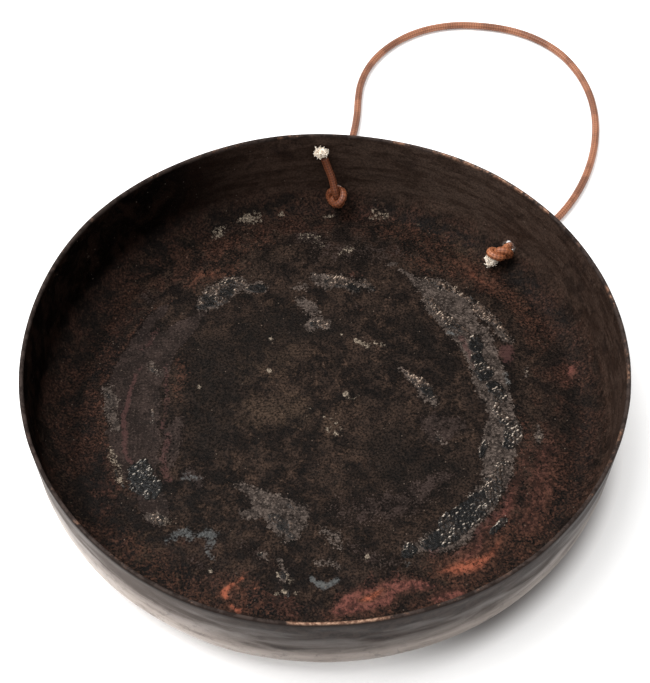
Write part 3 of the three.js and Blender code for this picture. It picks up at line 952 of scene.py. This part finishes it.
def residue(name, stains, grain, tall, cover, soot, seed):
    """Burnt crust: a closed body that lies just under the floor, and whose grains stand out of it."""
    low = np.min([[a - w - 5, b - w - 5] for _, _, line in stains for a, b, w in line], axis=0)
    high = np.max([[a + w + 5, b + w + 5] for _, _, line in stains for a, b, w in line], axis=0)
    spans = (np.arange(start, end, CRUST_GRID) for start, end in zip(low, high))
    gx, gy = np.meshgrid(*spans, indexing="ij")
    x, y = gx.ravel(), gy.ravel()
    flat = np.stack([x, y, 0 * x], -1)
    wx = x + 1.8 * layered_noise(flat, 8, seed, 4, 0.6)
    wy = y + 1.8 * layered_noise(flat, 8, seed + 5, 4, 0.6)
    field = patches(wx, wy, stains)

    # Grains of three sizes, heaped up here and there, on a thin crumbly base.
    ragged = field + 0.60 * layered_noise(flat, 7, seed + 9, 5, 0.68) + cover
    amount = smoothstep(0.40, 0.72, ragged) * smoothstep(0.05, 0.2, field)
    base = smoothstep(0.50, 0.78, ragged) * smoothstep(0.2, 0.4, field)
    top = np.zeros(len(x))
    peaks = np.zeros(len(x))
    for i, size in enumerate((grain, grain * 0.62, grain * 0.42)):
        bumps = grains(x + 3.1 * i, y - 1.7 * i, size, seed + i, amount)
        top = np.maximum(top, size * tall * bumps)
        peaks = np.maximum(peaks, bumps / LARGEST_GRAIN)
    lumps = 1.0 + 0.6 * layered_noise(flat, 4, seed + 31, 3)
    crumbs = 0.5 + 0.5 * layered_noise(flat, 1.6, seed + 37, 2)
    heaps = smoothstep(-0.45, 0.40, layered_noise(flat, 6.5, seed + 51, 2))
    height = top * lumps * (0.45 + 0.75 * heaps) + base * (0.10 + 0.16 * crumbs)

    # A glint is painted on the grains where they face up, to the left and to the back.
    slope_x, slope_y = (slope.ravel() for slope in np.gradient(height.reshape(gx.shape), CRUST_GRID))
    facing = (0.86 + 0.30 * slope_x - 0.41 * slope_y) / np.sqrt(1 + slope_x ** 2 + slope_y ** 2)
    painted_shine = smoothstep(0.915, 0.98, facing) * smoothstep(-0.05, 0.25, noise(flat, 1.2, seed + 43))

    floor = SHEET + floor_wave(x, y)
    upper = np.stack([x, y, floor - CRUST_TOP + np.maximum(height, 0)], -1)
    lower = np.stack([x, y, floor - CRUST_UNDERSIDE], -1)
    used, packed = np.unique(plate_faces((field > 0.06).reshape(gx.shape)), return_inverse=True)
    vertices = np.vstack([upper, lower])[used]
    values = pan_attributes(vertices, np.ones(len(vertices)))
    shown = smoothstep(0.10, 0.22, height)
    # Which grains show, their painted glint, and the height that the painted highlight and shade follow.
    for key, value in (("grain", shown), ("lit", painted_shine * shown),
                       ("relief_tone_and_painted_light", np.clip(peaks * (0.35 + 0.80 * heaps), 0, 1))):
        values[key] = np.tile(value, 2)[used]
    values["soot"] = np.full(len(vertices), soot)
    return make_mesh(name, vertices, packed.reshape(-1, 4).tolist(), values)


RESIDUES = {
    "residue_right_upper": dict(
        stains=[(0.85, 2, [(46, 72, 1.0), (53, 68, 2.6), (61, 64, 3.0), (66, 60, 1.5)]),
                (0.90, 2, [(48, 60, 1.2), (52, 53, 2.4), (58, 47, 3.2), (64, 41, 2.4)])],
        grain=1.8, tall=0.60, cover=0.07, soot=0.10, seed=101),
    "residue_right_middle": dict(
        stains=[(1.0, 1.8, [(70, 24, 3.2), (73, 17, 4.4)]), (1.0, 1.8, [(75, 10, 3.2), (78, 4, 4.0)]),
                (0.95, 1.8, [(76, -3, 2.6), (79, -8, 2.6)])],
        grain=2.0, tall=0.47, cover=0.06, soot=0.50, seed=111),
    "residue_right_bubbles": dict(
        stains=[(1.0, 1.6, [(69, 35, 3.2), (69, 31, 2.8)]),
                (1.0, 1.6, [(83, -10, 2), (82, -17, 4.2), (80, -22, 3)]),
                (0.95, 1.6, [(70, -21, 2.2), (68, -26, 2)])],
        grain=1.9, tall=0.50, cover=0.04, soot=0.60, seed=115),
    "residue_right_lower": dict(
        stains=[(0.85, 2, [(77, -31, 2.5), (74, -36, 3), (72, -41, 4), (70, -45, 4)])],
        grain=1.6, tall=0.58, cover=0.04, soot=0.40, seed=118),
    "residue_right_end": dict(
        stains=[(1.0, 2, [(72, -45, 3), (64, -52, 5.2), (56, -60, 5.8), (47, -67, 4.4), (41, -70, 2.5)]),
                (1.0, 1.5, [(36, -72, 2.6), (34, -75, 2.0)]),
                (0.95, 1.5, [(75, -58, 1.4), (72, -62, 2.0), (69, -65, 1.2)])],
        grain=1.6, tall=0.62, cover=0.12, soot=0.72, seed=121),
    "residue_right_outer": dict(
        stains=[(0.95, 1.6, [(67, 60, 0.8), (71, 55, 2.0), (76, 48, 2.6), (82, 40, 2.4), (86, 33, 1.0)])],
        grain=1.5, tall=0.5, cover=0.04, soot=0.0, seed=131),
    "residue_left": dict(
        stains=[(0.70, 2.5, [(-97, 12, 2.5), (-95, 2, 3), (-92, -10, 2.5)]),
                (0.80, 2, [(-78, 22, 2.5), (-73, 17, 2)]), (0.66, 2, [(-76, -2, 2), (-75, -12, 2.5)]),
                (0.70, 2, [(-80, 55, 2), (-76, 57, 2)])],
        grain=1.2, tall=0.42, cover=-0.10, soot=0.35, seed=151),
    "residue_left_edge": dict(
        stains=[(0.85, 1.5, [(-93, -20, 0.8), (-91, -28, 1.5), (-88, -37, 1.4), (-84, -42, 0.8)])],
        grain=1.1, tall=0.45, cover=0.02, soot=0.0, seed=161),
    "residue_lower_left": dict(
        stains=[(1.0, 2, [(-80, -32, 4), (-77, -38, 6), (-74, -44, 4)])],
        grain=1.7, tall=0.60, cover=0.08, soot=0.95, seed=171),
    "residue_tip": dict(
        stains=[(0.9, 1.5, [(-73, -56, 1.5), (-69, -57, 2.6)])],
        grain=1.3, tall=0.5, cover=0.04, soot=0.1, seed=175),
    "residue_upper_left": dict(
        stains=[(0.95, 2, [(-57, 56, 2.5), (-52, 61, 5.5), (-45, 67, 5.5), (-39, 70, 2.5)]),
                (0.90, 1.6, [(-36, 67, 2), (-31, 67, 3), (-28, 67, 1.5)])],
        grain=1.5, tall=0.5, cover=0.02, soot=0.15, seed=181),
    "residue_top": dict(
        stains=[(0.85, 2, [(-3, 75, 1.5), (2, 71, 3.8), (9, 71, 3.8), (16, 66, 2.5)]),
                (0.8, 1.5, [(20, 69, 1.5), (24, 65, 1.6)]), (0.8, 1.5, [(-5, 57, 1.2)]),
                (0.85, 1.5, [(-5, 45, 2.4), (0, 45, 2.6)])],
        grain=1.3, tall=0.45, cover=-0.02, soot=0.05, seed=191),
    "residue_lower": dict(
        stains=[(0.80, 2, [(-24, -54, 2), (-18, -60, 4), (-14, -65, 3)]),
                (0.75, 2, [(-22, -48, 2), (-9, -54, 2)])],
        grain=1.2, tall=0.42, cover=-0.10, soot=0.2, seed=201),
    "residue_middle": dict(
        stains=[(0.95, 1.5, [(37, 18, 0.8), (41, 13, 2.0), (45, 8, 3.0), (48, 4, 2)]),
                (0.8, 1.5, [(50, -18, 1.4)])],
        grain=1.6, tall=0.5, cover=0.04, soot=0.0, seed=211),
    "residue_specks": dict(
        stains=[(0.9, 1.5, [(93, -14, 0.6), (93, -18, 1.6)]), (0.9, 1.5, [(-18, -84, 2)]),
                (0.8, 1.5, [(3, -79, 2)]), (0.85, 1.5, [(-27, -74, 1.6)]), (0.85, 1.2, [(91, 18, 0.8)]),
                (0.85, 1.2, [(-16, -92, 2)])],
        grain=1.2, tall=0.45, cover=0.02, soot=0.1, seed=221),
}


def make_residues(material):
    for name, shape in RESIDUES.items():
        dress(residue(name, **shape), material)


# ---- the cord ---------------------------------------------------------------------------------

# The cord leaves the left hole, dips to the table, runs round behind the pan and comes back in.
ON_TABLE = [(10.6, 147), (13.4, 157), (16.4, 169), (18.4, 182), (19.4, 195), (21.2, 207), (26, 220),
            (34.5, 232.5), (46, 242.6), (59.5, 249.3), (74.5, 252.2), (90, 251.1), (105, 247.1),
            (118.5, 239.3), (129.4, 228), (136.7, 214), (140.9, 198.5), (142.1, 182.5), (140.7, 166.5),
            (137, 150.5), (130.9, 134.5), (122.6, 119.6), (112.6, 107)]
LOOP_ROUTE = [left_hole(PIVOT), left_hole(PIVOT + 5), (8.8, 138, 2.6),
              *((x, y, TABLE) for x, y in ON_TABLE),
              (102.4, 98.4, 2.6), right_hole(PIVOT + 5), right_hole(PIVOT)]
LEFT_TAIL = [(5.9, 115.6, 17.4), (5.2, 117.2, 20.6), (4.4, 118.4, 23.5), (2.6, 120.2, 28.3),
             (1.1, 121.5, 32.8)]
RIGHT_TAIL = [(81.0, 79.3, 8.6), (80.3, 79.3, 7.0)]
CORD_SIDES = 28
CORD_STEP = 0.34
RIB_PITCH, RIB_HEIGHT = 1.35, 0.10


def carried_frames(path):
    """Two directions across the line at each point, carried along it without twisting."""
    tangent = np.gradient(path, axis=0)
    tangent /= np.linalg.norm(tangent, axis=1)[:, None]
    across = np.cross(tangent[0], [0, 0, 1.0])
    if np.linalg.norm(across) < 0.1:
        across = np.cross(tangent[0], [1.0, 0, 0])
    firsts = []
    for t in tangent:
        across = unit(across - t * np.dot(across, t))
        firsts.append(across)
    firsts = np.array(firsts)
    return firsts, np.cross(tangent, firsts)


def braided_tube(name, route, seed=1, narrow_start=False):
    """A braided round cord along a route: closed at both ends, with the braid as real relief."""
    path = even_steps(route, CORD_STEP)
    first, second = carried_frames(path)
    along = np.arange(len(path)) * CORD_STEP
    around = np.linspace(0, 2 * math.pi, CORD_SIDES, endpoint=False)
    a, s = np.meshgrid(around, along)
    turn = 2 * math.pi * s / RIB_PITCH
    weave = np.sin(turn / 2 + 4 * a) * np.sin(turn / 2 - 4 * a)
    ribs = np.sqrt(np.abs(weave)) * np.sign(weave)
    worn = noise(np.stack([s.ravel(), a.ravel() * 2, 0 * s.ravel()], -1), 9, seed).reshape(s.shape)
    reach = CORD / 2 - RIB_HEIGHT + RIB_HEIGHT * ribs + 0.05 * worn
    if narrow_start:
        reach = reach * (0.72 + 0.28 * smoothstep(0, 2.2, s))
    grid = (path[:, None, :] + (reach * np.cos(a))[..., None] * first[:, None, :]
            + (reach * np.sin(a))[..., None] * second[:, None, :])
    vertices = np.vstack([grid.reshape(-1, 3), path[:1], path[-1:]])
    relief = np.append(ribs.ravel() * 0.5 + 0.5, [0.5, 0.5])
    return make_mesh(name, vertices, closed_faces(len(path), CORD_SIDES), {"rib": relief})


# The tint makes lighter and darker copies of one cord, as painted light and shade.
def cord_material(name, tint):
    s = Shader(name)
    rib = s.attribute("rib")
    long_marks = s.noise(14, 4, 0.6)
    fibre = s.noise(0.35, 3, 0.6)
    # Darker in the braid's grooves as painted shade, and lighter on the worn ribs.
    deep = s.between(long_marks, 0.42, 0.58, (0.100, 0.028, 0.009), (0.190, 0.062, 0.025))
    worn = s.between(long_marks, 0.42, 0.58, (0.220, 0.072, 0.028), (0.380, 0.145, 0.068))
    colour = s.between(rib, 0.20, 0.75, deep, worn)
    colour = s.scaled(s.over(colour, fibre, 0.52, 0.66, 0.35, (0.46, 0.22, 0.13)), tint)
    normal = s.bump(fibre, 0.08, 0.6)
    return s.finish(Base_Color=colour, Roughness=s.ramp(rib, 0, 1, 0.70, 0.42), Normal=normal)


def wall_clearance(p):
    """How far each point is inside the pan's inner face, and the way off that face."""
    r = np.hypot(p[:, 0], p[:, 1])
    outward = np.stack([p[:, 0] / r, p[:, 1] / r], -1)
    z = p[:, 2]
    dr, dz = np.maximum(r - CORNER_R, 0), np.minimum(z - CORNER_RADIUS, 0)
    reach = np.hypot(dr, dz)
    inner = CORNER_RADIUS - SHEET
    lean = np.maximum(z - CORNER_RADIUS, 0) * math.tan(WALL_LEAN)
    clear = inner + lean - reach
    safe = np.maximum(reach, 1e-6)
    away = np.stack([-dr / safe * outward[:, 0], -dr / safe * outward[:, 1], -dz / safe], -1)
    return clear, away


TIGHTENING_ROUNDS = 1600
KNOT_STEP = 0.85            # spacing of a knot's points while it is pulled tight
NEIGHBOURS = 1.45 * CORD    # stretches nearer than this along the cord don't push each other
# How strongly each round pulls the line straight, pushes its strands apart, pushes them off the wall,
# and brings the knot back to its place.
STRAIGHTEN, PUSH_APART, OFF_WALL, BRING_BACK = 0.35, 0.24, 0.5, 0.02


def tighten(start, knot, end, centre, snug):
    """Pulls a loose overhand knot tight between two fixed stretches of cord, about a given centre: the
    line shortens, and strands that come nearer to each other than snug cord widths push apart."""
    middle = even_steps(smooth_route(np.vstack([start[-1:], knot, end[:1]]), 10), KNOT_STEP)[1:-1]
    fixed_start, fixed_end = even_steps(start, KNOT_STEP), even_steps(end, KNOT_STEP)
    for i in range(TIGHTENING_ROUNDS):
        line = np.vstack([fixed_start, middle, fixed_end])
        first, last = len(fixed_start), len(fixed_start) + len(middle)
        pull = 0.5 * (line[:-2] + line[2:]) - line[1:-1]
        move = np.zeros_like(line)
        move[1:-1] += STRAIGHTEN * pull
        gap = line[:, None, :] - line[None, :, :]
        apart = np.linalg.norm(gap, axis=2)
        order = np.abs(np.subtract.outer(np.arange(len(line)), np.arange(len(line))))
        near = (apart < CORD * snug) & (order * KNOT_STEP > NEIGHBOURS)
        force = np.where(near, (CORD * snug - apart) / np.maximum(apart, 1e-6), 0)
        move += PUSH_APART * (gap * force[..., None]).sum(1)
        clear, away = wall_clearance(line)
        move += OFF_WALL * np.maximum(CORD / 2 + 0.1 - clear, 0)[:, None] * away
        body = middle[3:-3]
        move += BRING_BACK * (np.asarray(centre) - body.mean(0))
        middle = middle + move[first:last]
        if i % 5 == 4:
            whole = even_steps(np.vstack([fixed_start[-1:], middle, fixed_end[:1]]), KNOT_STEP)
            middle = whole[1:-1]
    return np.vstack([fixed_start, middle, fixed_end])


def loose_overhand(centre, across, down, scale):
    """An open overhand knot: both of its ends leave towards down, the first one on the side of across."""
    down, across = unit(down), np.asarray(across, float)
    across = unit(across - down * np.dot(across, down))
    third = np.cross(across, down)
    t = np.linspace(math.pi + 0.55, 3 * math.pi - 0.55, 60)
    x = np.sin(t) + 2 * np.sin(2 * t)
    y = np.cos(t) - 2 * np.cos(2 * t)
    z = -np.sin(3 * t)
    return np.asarray(centre) + scale * (x[:, None] * across - y[:, None] * down + 1.2 * z[:, None] * third)


def make_loop():
    route = np.vstack([left_hole(-SHEET - 0.6), left_hole(0), smooth_route(LOOP_ROUTE),
                       right_hole(0), right_hole(-SHEET - 0.6)])
    loop = braided_tube("hanging_loop", route)
    loop.data.materials.append(cord_material("waxed_cord", (0.86, 0.86, 0.84)))
    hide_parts("cord_loop", "cord_in_left_hole", "cord_in_right_hole")

    hinge = (left_hole(PIVOT) + right_hole(PIVOT)) / 2
    away = unit(np.cross([0, 0, 1.0], right_hole(PIVOT) - left_hole(PIVOT)))
    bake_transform(loop)
    return loop, route


def make_knot(name, hole, loose, tail, centre, snug, seed, material):
    """An overhand knot against the inside of a hole, with its tail, as one stretch of cord."""
    stub = np.array([hole(-SHEET - 0.4), hole(-SHEET - 1.6)])
    tied = tighten(stub, loose, tail, centre, snug)
    knot = braided_tube(name, smooth_route(tied, 3), seed=seed, narrow_start=True)
    dress(knot, material)
    return knot


def make_left_knot():
    centre = np.array([7.0, 115.4, 10.8])
    loose = loose_overhand(centre, (0.2, 0.55, -0.85), (-0.1, 0.75, 0.55), 2.3)
    tail = smooth_route(LEFT_TAIL, 8)
    # A darker copy of the cord: painted shade on the knot and tail inside the pan.
    material = cord_material("waxed_cord_painted_shade", (0.74, 0.60, 0.50))
    left = make_knot("knot_and_tail_left", left_hole, loose, tail, centre, 0.96, 3, material)
    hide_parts("knot_left", "tail_left")
    return left


def make_right_knot():
    centre = np.array([83.8, 79.5, 10.9])
    along_hole = right_hole(0) - right_hole(-1)
    level = np.cross(along_hole, [0, 0, 1.0])
    loose = loose_overhand(centre, level, along_hole, 2.2)
    tail = np.array(RIGHT_TAIL)
    # A brighter copy of the cord: painted light on the knot.
    material = cord_material("waxed_cord_painted_light", (1.40, 1.36, 1.30))
    right = make_knot("knot_right_tied", right_hole, loose, tail, centre, 0.84, 4, material)
    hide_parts("knot_right")
    return right


# ---- frayed ends ---------------------------------------------------------------------------------


def cotton_lump(centre, size, seed):
    """A rounded wad of fibre with folds in it: a closed ball of points and faces."""
    rings, around = 29, 40
    polar = np.linspace(math.pi, 0, rings + 2)[1:-1, None]
    turn = np.arange(around) * 2 * math.pi / around
    level, height = np.sin(polar), np.cos(polar)
    way = np.stack([level * np.cos(turn), level * np.sin(turn), height + 0 * turn], -1)
    way = np.vstack([way.reshape(-1, 3), [[0, 0, -1], [0, 0, 1]]])
    folds = 1 - np.abs(noise(way, 0.62, seed)) * 1.3
    reach = 0.66 + 0.24 * folds + 0.16 * noise(way, 0.3, seed + 1)
    return np.asarray(centre) + way * reach[:, None] * np.asarray(size), closed_faces(rings, around)


STRAND_STEPS, STRAND_SIDES = 7, 6


def fray(name, centre, size, direction, count, seed):
    """A tuft of loose cotton: a folded wad, with short curled strands lying over it and standing out."""
    rng = np.random.default_rng(seed)
    centre, size = np.asarray(centre, float), np.asarray(size, float)
    lump, faces = cotton_lump(centre, size, seed)
    vertices = list(lump)
    axis = unit(direction)
    phi = np.arange(STRAND_SIDES) * 2 * math.pi / STRAND_SIDES
    along = np.linspace(0, 1, STRAND_STEPS)[:, None]
    strand_faces = row_faces(STRAND_STEPS, STRAND_SIDES)
    strand_faces.append(tuple(reversed(range(STRAND_SIDES))))
    strand_faces.append(tuple(range((STRAND_STEPS - 1) * STRAND_SIDES, STRAND_STEPS * STRAND_SIDES)))
    for _ in range(count):
        way = unit(rng.normal(size=3) + 0.7 * axis)
        over = unit(np.cross(way, rng.normal(size=3)))
        start = centre + way * size * rng.uniform(0.45, 0.7)
        reach = rng.uniform(1.6, 3.2)
        lift, curl = rng.uniform(0.25, 0.75), rng.uniform(0.5, 1.1)
        bend = way * lift * (along - 0.55 * along ** 2) + over * curl * along * (0.4 + 0.6 * along)
        path = start + reach * bend
        first, second = carried_frames(path)
        width = (rng.uniform(0.16, 0.36) * (1 - 0.4 * along ** 2))[:, :, None]
        ring = np.cos(phi)[:, None] * first[:, None, :] + np.sin(phi)[:, None] * second[:, None, :]
        faces += [tuple(len(vertices) + i for i in face) for face in strand_faces]
        vertices.extend((path[:, None, :] + width * ring).reshape(-1, 3))
    return make_mesh(name, np.array(vertices), faces)


def cotton_material():
    s = Shader("cotton_core")
    fine = s.noise(0.6, 4, 0.6)
    colour = s.between(fine, 0.38, 0.62, (0.50, 0.39, 0.28), (0.84, 0.77, 0.67))
    return s.finish(Base_Color=colour, Roughness=0.9, Sheen_Weight=0.3, Normal=s.bump(fine, 0.06, 0.6))


TUFTS = [
    ("tuft_left", (-0.2, 121.4, 36.4), (3.6, 2.8, 2.8), (-0.5, -0.2, 0.6), "frayed_end_left", 11),
    ("tuft_right", (79.8, 78.6, 7.4), (3.4, 3.6, 3.3), (-0.3, -0.6, -0.2), "frayed_end_right", 12),
]
STRANDS = 90


def make_frays():
    material = cotton_material()
    made = []
    for name, centre, size, way, node, seed in TUFTS:
        tuft = fray(name, centre, size, way, STRANDS, seed)
        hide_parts(node)
        dress(tuft, material)
        made.append(tuft)
    return made


# ---- floor and light ------------------------------------------------------------------------------


SHADOW_SIDE = math.radians(-40)     # the side of the pan that the painted shadow lies on
SHADOW_START, SHADOW_END = math.radians(16), math.radians(46)
SHADOW_INNER, SHADOW_OUTER = 0.121, 0.134
SHADOW_DEPTH = 0.84
TABLE_SIZE = 12
TABLE_TOP = -0.0002


def table_material():
    """A pale table with faint painted light, and a painted soft brown shadow close to one side of the pan.
    """
    s = Shader("pale_table")
    x, y, _ = s.node("SeparateXYZ", {0: s.coordinates}).outputs
    radius = s.math("SQRT", s.math("ADD", s.times(x, x), s.times(y, y)))
    off_side = s.math("ABSOLUTE", s.math("SUBTRACT", s.math("ARCTAN2", y, x), SHADOW_SIDE))
    painted_shadow = s.times(s.ramp(radius, SHADOW_OUTER, SHADOW_INNER), s.ramp(off_side, SHADOW_END, SHADOW_START))
    light = s.math("SUBTRACT", 1.0, s.times(painted_shadow, SHADOW_DEPTH))
    colour = s.mix(light, (0.035, 0.018, 0.012), (0.92, 0.915, 0.91))
    # The faint emission is painted light, and it fades under the painted shadow too.
    return s.finish(Base_Color=colour, Roughness=0.7, Emission_Color=(1, 1, 1),
                    Emission_Strength=s.times(light, 0.12))


def make_stage():
    bpy.ops.mesh.primitive_plane_add(size=TABLE_SIZE, location=(0, 0, TABLE_TOP))
    table = bpy.context.object
    table.name = "table"
    table.data.materials.append(table_material())
    world = bpy.data.worlds.new("studio")
    bpy.context.scene.world = world
    world.use_nodes = True
    background = world.node_tree.nodes["Background"]
    background.inputs["Color"].default_value = (1, 1, 1, 1)
    background.inputs["Strength"].default_value = 1.0
    soft_light("softbox", (-0.85, 0.30, 1.70), 1.5, 36)
    soft_light("sparkle", (-0.75, 0.20, 1.50), 0.09, 7)
    bpy.context.scene.view_settings.view_transform = "Standard"


def soft_light(name, place, size, power):
    data = bpy.data.lights.new(name, "AREA")
    data.energy = power
    data.size = size
    lamp = bpy.data.objects.new(name, data)
    turn = Vector(place).to_track_quat("Z", "Y")
    lamp.matrix_world = Matrix.Translation(place) @ turn.to_matrix().to_4x4()
    bpy.context.scene.collection.objects.link(lamp)


# ---- the whole model ------------------------------------------------------------------------------

loop, loop_route = make_loop()
knot_left, knot_right = make_left_knot(), make_right_knot()
make_residues(make_pan())
tufts = make_frays()
make_stage()
